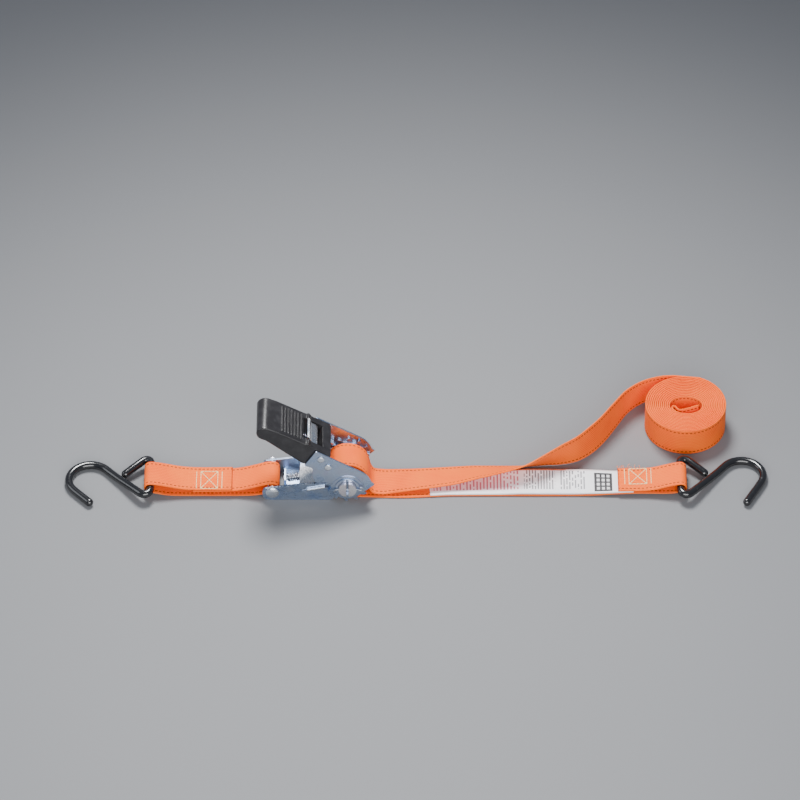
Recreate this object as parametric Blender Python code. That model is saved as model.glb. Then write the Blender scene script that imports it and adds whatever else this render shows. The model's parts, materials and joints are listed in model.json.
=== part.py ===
"""Ratchet strap: 25 mm webbing with a ratchet buckle and two S-hooks, laid out on a flat surface."""

import math

import bmesh
import bpy
from mathutils import Matrix, Vector

# All driving dimensions are in millimetres. X runs along the strap, Y to the rear, Z up.
MM = 0.001

WEB_WIDTH = 25.0
WEB_THICK = 1.2

# The middle of the whole layout's footprint in the drawing, which becomes the origin
MIDDLE = (0.08, 35.73, 0.0)

# Ratchet: the spool's axis, and the width stack from the middle outwards
AXLE_X = -52.5
AXLE_Z = 17.1
WALL_IN = 14.2
WALL_OUT = 16.0
WHEEL_IN = 16.25
WHEEL_OUT = 17.65
PLATE_IN = 17.9
PLATE_OUT = 19.3
BOSS_OUT = 19.9
WASHER_IN = 20.1
WASHER_OUT = 20.9
COTTER_Y = 21.9
BAR_END = 23.4

BAR_R = 6.95
BAR_HOLE_R = 7.05
SLOT_HALF = 0.9
WRAP_R = 14.9
COIL_R = 15.8
SPOOL_RIGHT = -40.0
LONG_DRIFT = 1.2

TEETH = 12
TOOTH_TIP_R = 16.8
TOOTH_ROOT_R = 13.2
GAP_ANGLE = 9.2

# Frame and fixed pin
PIN_X = -110.2
PIN_Z = 8.3
PIN_R = 4.0
FRAME_LEFT = -117.7
WALL_HUMP_R = 13.0
BASE_THICK = 1.5

# Lock pawl: a plate that slides along its own slope
LOCK_X = -89.0
LOCK_Z = 10.2
LOCK_SLOPE = 12.0
LOCK_TIP = 19.9
PAWL_THICK = 1.8

# Handle, drawn as if closed (a from the axle to the grip's end, b up), then raised
HANDLE_RAISE = 33.7
GRIP_HALF = 17.2
RELEASE_B = 5.05
RELEASE_TIP = 16.5
WELL_START = 35.2
WELL_END = 52.5
WELL_HALF = 11.2

# Hooks
WIRE_R = 3.15
EYE_Z = 8.5
LEFT_EYE_X = -204.0
RIGHT_EYE_X = 203.1
LOOP_R = WIRE_R + 0.4 + WEB_THICK / 2

# Roll of spare webbing
ROLL_X = 208.6
ROLL_Y = 64.6
ROLL_R = 31.5
ROLL_TURNS = 14
ROLL_PITCH = 1.36

for old in list(bpy.data.objects):
    bpy.data.objects.remove(old)

PARTS = bpy.data.collections.new("ratchet_strap")
CUTTERS = bpy.data.collections.new("cutters")
bpy.context.scene.collection.children.link(PARTS)
bpy.context.scene.collection.children.link(CUTTERS)


def make_material(name, color, metallic, roughness):
    mat = bpy.data.materials.new(name)
    mat.use_nodes = True
    shader = mat.node_tree.nodes["Principled BSDF"]
    shader.inputs["Base Color"].default_value = (*color, 1.0)
    shader.inputs["Metallic"].default_value = metallic
    shader.inputs["Roughness"].default_value = roughness
    return mat


LOOKS = {
    "zinc": ((0.52, 0.55, 0.60), 1.0, 0.3),
    "bright_steel": ((0.66, 0.67, 0.69), 1.0, 0.25),
    "spring_steel": ((0.40, 0.41, 0.43), 1.0, 0.35),
    "black_plastic": ((0.02, 0.02, 0.022), 0.0, 0.4),
    "black_vinyl": ((0.012, 0.012, 0.013), 0.0, 0.2),
    "orange_webbing": ((0.85, 0.20, 0.03), 0.0, 0.8),
    "white_label": ((0.86, 0.86, 0.87), 0.0, 0.6),
}


def finish(name, bm, look, origin=(0.0, 0.0, 0.0), keep=True):
    """Turn a bmesh drawn in millimetres into an object with its origin at a chosen point."""
    bmesh.ops.remove_doubles(bm, verts=bm.verts, dist=0.0005)
    bmesh.ops.recalc_face_normals(bm, faces=bm.faces)
    bmesh.ops.translate(bm, verts=bm.verts, vec=-Vector(origin))
    bmesh.ops.scale(bm, verts=bm.verts, vec=(MM, MM, MM))
    mesh = bpy.data.meshes.new(name)
    bm.to_mesh(mesh)
    bm.free()
    obj = bpy.data.objects.new(name, mesh)
    obj.location = (Vector(origin) - Vector(MIDDLE)) * MM
    if keep:
        mesh.materials.append(make_material(name, *LOOKS[look]))
        PARTS.objects.link(obj)
    else:
        obj.hide_render = True
        obj.display_type = "WIRE"
        CUTTERS.objects.link(obj)
    return obj


def combine(obj, other, operation):
    """Boolean another drawn object into this one."""
    mod = obj.modifiers.new(operation.lower(), "BOOLEAN")
    mod.operation = operation
    mod.solver = "EXACT"
    mod.object = other
    return mod


def rounded(corners, steps=5):
    """A closed outline from (x, z, radius) corners, each rounded by its radius."""
    out = []
    count = len(corners)
    for i, (x, z, radius) in enumerate(corners):
        here = Vector((x, z))
        back = (Vector(corners[i - 1][:2]) - here).normalized()
        ahead = (Vector(corners[(i + 1) % count][:2]) - here).normalized()
        if radius <= 0:
            out.append((x, z))
            continue
        half = back.angle(ahead) / 2
        reach = radius / math.tan(half)
        centre = here + (back + ahead).normalized() * radius / math.sin(half)
        start = here + back * reach - centre
        end = here + ahead * reach - centre
        turn = start.angle_signed(end)
        for k in range(steps + 1):
            spot = centre + Matrix.Rotation(-turn * k / steps, 2) @ start
            out.append((spot.x, spot.y))
    return out


def circle(x, z, radius, count=24, start=0.0, turn=360.0):
    """Points on a circle, or on an arc when turn is under a full circle."""
    last = count if abs(turn) >= 360 else count - 1
    points = []
    for k in range(count):
        angle = math.radians(start + turn * k / last)
        points.append((x + radius * math.cos(angle), z + radius * math.sin(angle)))
    return points


def plate_mesh(loops, low, high, bend=None):
    """A flat plate whose outline and holes lie in the XZ plane, from Y low to Y high."""
    curve = bpy.data.curves.new("outline", "CURVE")
    curve.dimensions = "2D"
    curve.fill_mode = "BOTH"
    curve.extrude = (high - low) / 2
    for loop in loops:
        spline = curve.splines.new("POLY")
        spline.points.add(len(loop) - 1)
        for point, (x, z) in zip(spline.points, loop):
            point.co = (x, z, 0.0, 1.0)
        spline.use_cyclic_u = True
    holder = bpy.data.objects.new("outline", curve)
    CUTTERS.objects.link(holder)
    bpy.context.view_layer.update()
    solid = bpy.data.meshes.new_from_object(holder)
    bm = bmesh.new()
    bm.from_mesh(solid)
    bpy.data.objects.remove(holder)
    bpy.data.curves.remove(curve)
    bpy.data.meshes.remove(solid)
    bmesh.ops.remove_doubles(bm, verts=bm.verts, dist=0.0005)
    stand = Matrix.Translation((0, (low + high) / 2, 0)) @ Matrix.Rotation(math.pi / 2, 4, "X")
    bmesh.ops.transform(bm, matrix=bend or stand, verts=bm.verts)
    return bm


def plate(name, loops, low, high, look, origin=(0.0, 0.0, 0.0), keep=True):
    return finish(name, plate_mesh(loops, low, high), look, origin, keep)


def box(name, low, high, look, origin=(0.0, 0.0, 0.0), keep=False):
    bm = bmesh.new()
    bmesh.ops.create_cube(bm, size=1.0)
    size = Vector(high) - Vector(low)
    bmesh.ops.scale(bm, verts=bm.verts, vec=size)
    bmesh.ops.translate(bm, verts=bm.verts, vec=(Vector(low) + Vector(high)) / 2)
    return finish(name, bm, look, origin, keep)


def sweep_mesh(frames, sides=0, width=0.0, thick=0.0):
    """Carry one section along a list of 4x4 frames: a circle of unit radius, or a flat strip."""
    bm = bmesh.new()
    if sides:
        bmesh.ops.create_circle(bm, cap_ends=True, segments=sides, radius=1.0)
    else:
        bmesh.ops.create_grid(bm, x_segments=1, y_segments=1, size=0.5)
        bmesh.ops.scale(bm, verts=bm.verts, vec=(width, thick, 1.0))
    bmesh.ops.transform(bm, matrix=frames[0], verts=bm.verts)
    bm.faces.ensure_lookup_table()
    tip = bm.faces[0]
    for before, after in zip(frames, frames[1:]):
        grown = bmesh.ops.extrude_face_region(bm, geom=[tip, *tip.edges])["geom"]
        verts = [g for g in grown if isinstance(g, bmesh.types.BMVert)]
        tip = next(g for g in grown if isinstance(g, bmesh.types.BMFace))
        bmesh.ops.transform(bm, matrix=after @ before.inverted(), verts=verts)
    return bm


def frame_at(point, across, along, scale=1.0):
    """A frame at a point: X across, Z along, Y square to both."""
    z = along.normalized()
    x = (across - across.dot(z) * z).normalized()
    y = z.cross(x)
    turn = Matrix((x, y, z)).transposed().to_4x4()
    return Matrix.Translation(point) @ turn @ Matrix.Diagonal((scale, scale, 1.0, 1.0))


def tangents(points):
    ends = [points[1] - points[0], points[-1] - points[-2]]
    inner = [b - a for a, b in zip(points, points[2:])]
    return [ends[0], *inner, ends[1]]


def strip_mesh(points, across):
    """A webbing strip along points, its width along the matching across directions."""
    along = tangents(points)
    frames = [frame_at(p, w, t) for p, w, t in zip(points, across, along)]
    return sweep_mesh(frames, width=WEB_WIDTH, thick=WEB_THICK)


def drift(x):
    """How far the long strap lies to the front of the middle, where it leaves the buckle."""
    share = min(max((x - SPOOL_RIGHT) / 90.0, 0.0), 1.0)
    return -LONG_DRIFT * (1 - share * share * (3 - 2 * share))


def flat_strip(name, path, look, origin=(0.0, 0.0, 0.0)):
    """A webbing strip from (x, z) points, or (x, z, y) points where it isn't in the middle."""
    points = [Vector((p[0], p[2] if len(p) > 2 else 0.0, p[1])) for p in path]
    return finish(name, strip_mesh(points, [Vector((0, 1, 0))] * len(points)), look, origin)


def wire_mesh(points, radius, sides, round_ends=True):
    """A round wire along points. Each end closes with a dome."""
    along = tangents(points)
    across = along[0].orthogonal()
    stations = []
    for point, direction in zip(points, along):
        across = (across - across.project(direction)).normalized()
        stations.append((point, across.copy(), direction.normalized(), radius))
    if round_ends:
        first, last = stations[0], stations[-1]
        domes = [(0.98, 0.2), (0.75, 0.66), (0.4, 0.917)]
        head = [(first[0] - first[2] * radius * d, first[1], first[2], radius * r) for d, r in domes]
        tail = [(last[0] + last[2] * radius * d, last[1], last[2], radius * r) for d, r in reversed(domes)]
        stations = head + stations + tail
    return sweep_mesh([frame_at(*s) for s in stations], sides=sides)


def smooth(points, steps):
    """A Catmull-Rom curve through points of any length."""
    vectors = [Vector(p) for p in points]
    chain = [vectors[0] * 2 - vectors[1], *vectors, vectors[-1] * 2 - vectors[-2]]
    out = []
    for p0, p1, p2, p3 in zip(chain, chain[1:], chain[2:], chain[3:]):
        for k in range(steps):
            t = k / steps
            cubic = (p1 * 3 - p0 - p2 * 3 + p3) * t**3
            square = (p0 * 2 - p1 * 5 + p2 * 4 - p3) * t**2
            out.append((p1 * 2 + (p2 - p0) * t + square + cubic) / 2)
    return [*out, vectors[-1]]


def turned(name, stations, look, x, z, sides=24, origin=None, keep=True):
    """A turned piece along Y at (x, z), from (y, radius) stations."""
    frames = [
        frame_at(Vector((x, y, z)), Vector((1, 0, 0)), Vector((0, 1, 0)), radius)
        for y, radius in stations
    ]
    return finish(name, sweep_mesh(frames, sides=sides), look, origin or (x, 0.0, z), keep)


def coil_mesh(start, axis, across, radius, length, turns, wire):
    """A coil spring from start along axis."""
    side = axis.cross(across).normalized()
    count = turns * 10
    points = []
    for k in range(count + 1):
        angle = 2 * math.pi * turns * k / count
        around = across * math.cos(angle) + side * math.sin(angle)
        points.append(start + axis * (wire + (length - 2 * wire) * k / count) + around * radius)
    return wire_mesh(points, wire, 6, round_ends=False)


AXLE = (AXLE_X, 0.0, AXLE_Z)
PIN = (PIN_X, 0.0, PIN_Z)
RAISE = math.radians(HANDLE_RAISE)


def handle_point(a, b):
    """A point of the closed handle's drawing, with the handle raised, in the XZ plane."""
    x = AXLE_X - a * math.cos(RAISE) + b * math.sin(RAISE)
    z = AXLE_Z + a * math.sin(RAISE) + b * math.cos(RAISE)
    return x, z


def handle_loop(points):
    return [handle_point(a, b) for a, b in points]


def lock_point(along, up=0.0):
    """A point of the lock pawl's drawing: along its slope, and square to it."""
    slope = math.radians(LOCK_SLOPE)
    x = LOCK_X + along * math.cos(slope) - up * math.sin(slope)
    z = LOCK_Z + along * math.sin(slope) + up * math.cos(slope)
    return x, z


# ---- Frame: two side walls, a base between them and the spring stop tab --------------------

wall_left = [
    (-60.5, 0.0, 4.0),
    (FRAME_LEFT, 0.0, 5.0),
    (FRAME_LEFT, 11.4, 3.0),
    (-89.0, 16.0, 20.0),
    (-76.0, 17.4, 20.0),
    (-67.2, 17.6, 0.0),
]
hump = circle(AXLE_X, AXLE_Z, WALL_HUMP_R, 20, 172.0, -234.0)
wall_outline = rounded(wall_left, 3) + hump

slot_half = PAWL_THICK / 2 + 0.3
slot = []
for slot_end, side in ((2.6, -1), (22.2, 1)):
    for t in (0.0, 0.8, 1.57, 2.35, 3.14):
        along = slot_end + side * slot_half * math.sin(t)
        slot.append(lock_point(along, -side * slot_half * math.cos(t)))
wall_holes = [
    circle(AXLE_X, AXLE_Z, BAR_HOLE_R, 32),
    circle(PIN_X, PIN_Z, PIN_R + 0.1, 20),
    slot,
]
frame = plate("frame_channel", [wall_outline, *wall_holes], -WALL_OUT, -WALL_IN, "zinc")
rear_wall = plate("rear_wall", [wall_outline, *wall_holes], WALL_IN, WALL_OUT, "zinc", keep=False)
base = box("frame_base", (-101.2, -WALL_IN - 0.6, 0.0), (-74.0, WALL_IN + 0.6, BASE_THICK), "zinc")
tab_low = (-101.2, -6.3, BASE_THICK / 2)
tab = box("spring_tab", tab_low, (-99.8, 6.3, 11.5), "zinc")
tab_hole = box("spring_tab_hole", (-103.0, -2.5, 6.2), (-98.0, 2.5, 9.4), "zinc")
combine(frame, rear_wall, "UNION")
combine(frame, base, "UNION")
combine(frame, tab, "UNION")
combine(frame, tab_hole, "DIFFERENCE")

head_out = WALL_OUT + 2.6
pin_half = [(WALL_OUT + 0.3, PIN_R), (WALL_OUT + 0.3, 5.5), (WALL_OUT + 1.3, 5.2)]
pin_half += [(WALL_OUT + 2.2, 3.6), (head_out, 1.4)]
pin_stations = [(-y, r) for y, r in reversed(pin_half)] + pin_half
turned("strap_pin", pin_stations, "bright_steel", PIN_X, PIN_Z)

# ---- Lock pawl and its spring ---------------------------------------------------------------

pawl_outline = [
    (-12.9, -2.0),
    (-0.6, -2.0),
    (0.0, -13.6),
    (5.0, -13.6),
    (5.4, -WHEEL_OUT),
    (LOCK_TIP, -WHEEL_OUT),
    (LOCK_TIP, -13.4),
    (13.2, -12.8),
]
pawl_loop = [(e, y) for e, y in pawl_outline] + [(e, -y) for e, y in reversed(pawl_outline)]
slope = math.radians(LOCK_SLOPE)
lay_flat = (
    Matrix.Translation((LOCK_X, 0.0, LOCK_Z))
    @ Matrix.Rotation(-slope, 4, "Y")
)
pawl_mesh = plate_mesh([pawl_loop], -PAWL_THICK / 2, PAWL_THICK / 2, bend=lay_flat)
finish("lock_pawl", pawl_mesh, "bright_steel", (LOCK_X, 0.0, LOCK_Z))

along_lock = Vector((math.cos(slope), 0.0, math.sin(slope)))
up_lock = Vector((-math.sin(slope), 0.0, math.cos(slope)))
spring_start = Vector((*lock_point(-10.0), 0.0)).xzy
lock_spring = coil_mesh(spring_start, along_lock, up_lock, 3.0, 9.0, 6, 0.45)
finish("lock_spring", lock_spring, "spring_steel", spring_start)

# ---- Spool: two half-round bars, two toothed wheels, washers and cotter pins -----------------

flat_angle = math.degrees(math.acos(SLOT_HALF / BAR_R))
for side, name in ((-1, "spool_bar_left"), (1, "spool_bar_right")):
    middle = 180.0 if side < 0 else 0.0
    arc = circle(AXLE_X, AXLE_Z, BAR_R, 15, middle - flat_angle, 2 * flat_angle)
    bar = plate(name, [arc], -BAR_END, BAR_END, "bright_steel", AXLE)
    for y in (-COTTER_Y, COTTER_Y):
        drill = turned(f"{name}_drill", [(-12.0, 0.9), (12.0, 0.9)], "zinc", 0.0, 0.0, 12, keep=False)
        drill.rotation_euler = (0.0, 0.0, math.pi / 2)
        drill.location = (Vector((AXLE_X, y, AXLE_Z)) - Vector(MIDDLE)) * MM
        combine(bar, drill, "DIFFERENCE")

tooth = [(-8.5, TOOTH_ROOT_R), (5.0, TOOTH_ROOT_R), (10.5, 15.3)]
tooth += [(15.5, TOOTH_TIP_R), (21.0, TOOTH_TIP_R)]
wheel_outline = []
for k in range(TEETH):
    for angle, radius in tooth:
        turn = math.radians(GAP_ANGLE + 360.0 * k / TEETH + angle)
        wheel_outline.append((AXLE_X + radius * math.cos(turn), AXLE_Z + radius * math.sin(turn)))
key_half = SLOT_HALF - 0.1
key_angle = math.degrees(math.acos(key_half / BAR_HOLE_R))
wheel_holes = [
    circle(AXLE_X, AXLE_Z, BAR_HOLE_R, 17, middle - key_angle, 2 * key_angle)
    for middle in (0.0, 180.0)
]
for name, low, high in (
    ("ratchet_wheel_front", -WHEEL_OUT, -WHEEL_IN),
    ("ratchet_wheel_rear", WHEEL_IN, WHEEL_OUT),
):
    plate(name, [wheel_outline, *wheel_holes], low, high, "zinc", AXLE)

washer = [circle(AXLE_X, AXLE_Z, 9.4, 32), circle(AXLE_X, AXLE_Z, BAR_HOLE_R + 0.1, 32)]
plate("spool_washer_front", washer, -WASHER_OUT, -WASHER_IN, "zinc", AXLE)
plate("spool_washer_rear", washer, WASHER_IN, WASHER_OUT, "zinc", AXLE)

cotter_path = [(-10.2, -2.6), (-9.3, -1.2), (-8.2, -0.2), (-7.0, 0.0), (0.0, 0.0), (7.0, 0.0)]
cotter_path += [(8.6, -0.3), (9.8, -1.2), (11.2, -0.9), (11.8, 0.3), (11.2, 1.5), (9.9, 1.7)]
for side, name in ((-1, "cotter_pin_front"), (1, "cotter_pin_rear")):
    points = [Vector((AXLE_X + x, side * COTTER_Y, AXLE_Z + z)) for x, z in cotter_path]
    finish(name, wire_mesh(points, 0.75, 8), "spring_steel", AXLE)

# ---- Webbing wound on the spool: a ring of turns and the layer through the slot --------------

ring = [circle(AXLE_X, AXLE_Z, WRAP_R, 40)]
ring += [
    circle(AXLE_X, AXLE_Z, BAR_R + 0.3, 15, middle - 85.0, 170.0) for middle in (0.0, 180.0)
]
plate("spool_wrap", ring, -WEB_WIDTH / 2, WEB_WIDTH / 2, "orange_webbing", AXLE)

# ---- Handle: side plates, grip, rivets, release pawl and its spring --------------------------

peak = handle_point(40.6, 19.0)
top_arc = circle(AXLE_X, AXLE_Z, 19.0, 6, 90.0 - HANDLE_RAISE, HANDLE_RAISE - 90.0 + 14.0)
under_arc = circle(AXLE_X, AXLE_Z, 12.6, 12, -48.0, -132.0)
plate_left = [
    (AXLE_X - 12.4, AXLE_Z + 4.9, 0),
    (AXLE_X - 24.6, AXLE_Z + 4.8, 1.2),
    (AXLE_X - 26.8, AXLE_Z + 12.2, 2.0),
    (AXLE_X - 26.2, AXLE_Z + 19.9, 1.5),
    (*handle_point(39.9, 1.0), 0.8),
    (*peak, 0.8),
]
plate_outline = rounded(plate_left, 3)
plate_outline += [*top_arc, (AXLE_X + 20.6, AXLE_Z + 2.2), *under_arc]
RIVETS = {"handle_rivet_grip": (33.0, 13.2), "handle_rivet_guide": (23.8, 9.3)}
plate_holes = [circle(AXLE_X, AXLE_Z, BAR_HOLE_R, 32)]
for spot in RIVETS.values():
    plate_holes.append(circle(*handle_point(*spot), 1.9, 16))
boss = [circle(AXLE_X, AXLE_Z, 11.9, 32), circle(AXLE_X, AXLE_Z, BAR_HOLE_R, 32)]
for side, name in ((-1, "handle_plate_front"), (1, "handle_plate_rear")):
    low, high = sorted((side * PLATE_IN, side * PLATE_OUT))
    sheet = plate(name, [plate_outline, *plate_holes], low, high, "zinc", AXLE)
    low, high = sorted((side * (PLATE_OUT - 0.5), side * BOSS_OUT))
    combine(sheet, plate(f"{name}_boss", boss, low, high, "zinc", AXLE, keep=False), "UNION")

for name, spot in RIVETS.items():
    x, z = handle_point(*spot)
    half = [(PLATE_OUT + 0.25, 1.8), (PLATE_OUT + 0.25, 3.0)]
    half += [(PLATE_OUT + 0.8, 2.8), (PLATE_OUT + 1.2, 1.4)]
    stations = [(-y, r) for y, r in reversed(half)] + half
    turned(name, stations, "bright_steel", x, z, 16, AXLE)

end_bar = circle(82.0, 10.2, 6.4, 12, 80.0, -187.0)
grip_profile = [(27.0, 8.0), (27.0, 19.0), (46.5, 19.0), (46.8, 20.4), (49.2, 20.4), (50.2, 18.9)]
grip_profile += [(76.0, 17.6), *end_bar, (77.0, 4.4), (41.2, -0.4), (35.6, 1.4), (35.2, 8.0)]
grip_bm = plate_mesh([handle_loop(grip_profile)], -GRIP_HALF, GRIP_HALF)
rims = [
    e
    for e in grip_bm.edges
    if all(abs(abs(v.co.y) - GRIP_HALF) < 0.01 for v in e.verts)
    and len(e.link_faces) == 2
    and e.calc_face_angle(0.0) > 1.0
]
bmesh.ops.bevel(grip_bm, geom=rims, offset=1.4, segments=2, profile=0.5, affect="EDGES")
grip = finish("handle_grip", grip_bm, "black_plastic", AXLE)
well = plate(
    "latch_well",
    [handle_loop([(WELL_START, -8.0), (WELL_END, -8.0), (WELL_END, 26.0), (WELL_START, 26.0)])],
    -WELL_HALF,
    WELL_HALF,
    "zinc",
    AXLE,
    keep=False,
)
combine(grip, well, "DIFFERENCE")
rivet_bore = plate(
    "grip_rivet_bore",
    [circle(*handle_point(*RIVETS["handle_rivet_grip"]), 1.9, 16)],
    -25,
    25,
    "zinc",
    AXLE,
    keep=False,
)
combine(grip, rivet_bore, "DIFFERENCE")
for k in range(7):
    a = 53.6 + 2.8 * k
    b = 18.84 - (a - 50.2) * 0.05
    rib_loop = [(a, b - 1.0), (a, b + 0.25), (a + 0.4, b + 0.65), (a + 1.1, b + 0.65)]
    rib_loop += [(a + 1.5, b + 0.25), (a + 1.5, b - 1.0)]
    rib = plate(f"grip_rib_{k}", [handle_loop(rib_loop)], -13.5, 13.5, "zinc", AXLE, keep=False)
    combine(grip, rib, "UNION")

release_line = [(RELEASE_TIP, RELEASE_B), (27.0, RELEASE_B), (35.4, RELEASE_B), (37.6, 6.0), (38.4, 8.2)]
release_line += [(38.4, 14.4), (39.4, 16.5), (41.6, 17.2), (44.4, 17.2), (47.0, 18.3), (49.4, 20.8)]
centre_line = [Vector(p) for p in release_line]
normals = [Vector((-t.y, t.x)).normalized() * PAWL_THICK / 2 for t in tangents(centre_line)]
release_loop = [tuple(p + n) for p, n in zip(centre_line, normals)]
release_loop += [tuple(p - n) for p, n in reversed(list(zip(centre_line, normals)))]
release = plate("release_pawl", [handle_loop(release_loop)], -WHEEL_OUT, WHEEL_OUT, "bright_steel", AXLE)
for side in (-1, 1):
    low, high = sorted((side * 10.3, side * 20.0))
    trim_loop = handle_loop([(26.0, 3.0), (55.0, 3.0), (55.0, 25.0), (26.0, 25.0)])
    trim = plate("release_trim", [trim_loop], low, high, "zinc", AXLE, keep=False)
    combine(release, trim, "DIFFERENCE")
notch_loop = handle_loop([(10.0, 3.0), (20.8, 3.0), (20.8, 8.0), (10.0, 8.0)])
notch = plate("release_notch", [notch_loop], -13.2, 13.2, "zinc", AXLE, keep=False)
combine(release, notch, "DIFFERENCE")

start = Vector((*handle_point(39.8, 10.4), 0.0)).xzy
end = Vector((*handle_point(WELL_END - 0.3, 10.4), 0.0)).xzy
spring_axis = (end - start).normalized()
release_coil = coil_mesh(start, spring_axis, Vector((0, 1, 0)), 2.2, (end - start).length, 7, 0.4)
finish("release_spring", release_coil, "spring_steel", start)

# ---- Short strap: one webbing sewn into a loop round the fixed pin and the left hook's eye ---

pin_loop_r = PIN_R + 0.4 + WEB_THICK / 2
short_path = [(-172.0, 5.1), (-150.0, 5.4), (-136.0, 6.4), (-124.0, 9.6), (-116.5, 12.2)]
short_path += circle(PIN_X, PIN_Z, pin_loop_r, 7, 90.0, -180.0)
short_path += [(-117.5, 2.4), (-126.0, 1.1), (-136.0, 0.75), (-160.0, 0.7), (-182.0, 0.75)]
short_path += [(-191.0, 1.3), (-198.0, 2.9)]
short_path += circle(LEFT_EYE_X, EYE_Z, LOOP_R, 7, 270.0, -180.0)
short_path += [(-198.5, 12.1), (-191.0, 10.4), (-182.0, 8.2), (-172.0, 7.0)]
short_path += [(-160.0, 6.8), (-141.0, 7.1)]
flat_strip("short_strap", smooth(short_path, 3), "orange_webbing", PIN)

# ---- Long strap: from the spool along the floor, round the right hook's eye and sewn back ----

long_path = circle(AXLE_X, AXLE_Z, COIL_R, 6, 215.0, 55.0)
long_path += [(-40.0, 0.68), (0.0, 0.68), (60.0, 0.68), (110.0, 0.68), (135.0, 1.1)]
long_path += [(152.0, 2.4), (170.0, 3.2), (184.0, 3.1), (191.0, 3.0), (197.5, 3.5)]
long_path += circle(RIGHT_EYE_X, EYE_Z, LOOP_R, 7, 270.0, 180.0)
long_path += [(197.6, 11.6), (191.0, 9.6), (185.0, 7.6), (179.0, 6.4), (171.0, 5.8), (155.0, 5.6)]
long_route = [(p.x, p.y, drift(p.x)) for p in smooth(long_path, 3)]
flat_strip("long_strap_run", long_route, "orange_webbing")

label_rise = [(10.0, 1.62), (26.0, 1.62), (45.0, 1.8), (65.0, 2.7), (82.0, 3.8), (100.0, 3.7)]
label_rise += [(120.0, 3.5), (135.0, 3.6), (146.0, 3.5), (152.0, 3.45), (158.5, 3.8)]
label_points = [Vector((x, drift(x), z)) for x, z in label_rise]
label_frames = [frame_at(p, Vector((0, 1, 0)), Vector((1, 0, 0))) for p in label_points]
finish("label", sweep_mesh(label_frames, width=WEB_WIDTH - 0.4, thick=0.3), "white_label")

# ---- Tail: off the top of the spool, over the long strap, then twisted up onto its edge ------

# Each station: x, y and z of the edge that ends up on the floor, and the lean of the width from it
stations = []
for k, (x, z) in enumerate(circle(AXLE_X, AXLE_Z, COIL_R, 10, 165.0, -150.0)):
    stations.append((x, WEB_WIDTH / 2 - LONG_DRIFT * max(0.0, (k - 6) / 6), z, 0.0))
stations += [
    (-36.0, 11.7, 15.6, -3.0),
    (-34.7, 11.4, 11.0, -6.0),
    (-32.0, 11.2, 7.6, -8.0),
    (-27.0, 11.6, 6.2, -7.0),
    (-20.0, 12.4, 5.0, -3.0),
    (-3.0, 14.2, 3.6, 3.0),
    (10.8, 15.7, 2.9, 7.0),
    (26.2, 17.5, 2.2, 11.6),
    (41.5, 19.2, 1.5, 19.5),
    (56.9, 19.7, 0.9, 28.0),
    (72.3, 19.8, 0.6, 37.5),
    (84.0, 20.0, 0.5, 47.0),
    (99.5, 21.4, 0.4, 65.0),
    (112.0, 22.1, 0.3, 83.0),
    (124.5, 25.6, 0.2, 95.0),
    (136.0, 34.3, 0.2, 101.0),
    (146.0, 47.0, 0.2, 100.0),
    (155.2, 62.8, 0.2, 97.0),
    (164.6, 78.8, 0.2, 93.0),
    (176.4, 89.8, 0.2, 90.0),
    (190.0, 95.0, 0.2, 90.0),
    (200.0, 96.0, 0.2, 90.0),
]
tail_points = []
tail_across = []
edge = [Vector(s[:3]) for s in stations]
for spot, direction, station in zip(edge, tangents(edge), stations):
    lean = math.radians(station[3])
    heading = Vector((direction.x, direction.y, 0.0)) if station[0] > -10 else Vector((1, 0, 0))
    heading.normalize()
    width = Vector((heading.y, -heading.x, 0.0)) * math.cos(lean) + Vector((0, 0, 1)) * math.sin(lean)
    width = (width - width.project(direction)).normalized()
    tail_points.append(spot + width * WEB_WIDTH / 2)
    tail_across.append(width)
tail_mesh = strip_mesh(smooth(tail_points, 3), smooth(tail_across, 3))
finish("long_strap_tail", tail_mesh, "orange_webbing")

# ---- Roll: the spare webbing wound on its edge, with a teardrop core ------------------------

roll_points = []
per_turn = 24
for k in range(3, ROLL_TURNS * per_turn + 1):
    turns = k / per_turn
    angle = math.radians(97.5 - 360.0 * turns)
    radius = ROLL_R - ROLL_PITCH * turns
    inner = (turns / ROLL_TURNS) ** 1.5
    x = ROLL_X + radius * math.cos(angle) * (1 + 0.10 * inner) + 0.5 * inner
    y = ROLL_Y + radius * math.sin(angle) * (1 - 0.10 * inner) - 1.0 * inner
    roll_points.append(Vector((x, y, WEB_WIDTH / 2 + 0.2)))
roll_mesh = strip_mesh(roll_points, [Vector((0, 0, 1))] * len(roll_points))
finish("strap_roll", roll_mesh, "orange_webbing")

# ---- Hooks: coated wire bent into an S, the eye closed round the webbing ---------------------


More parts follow.
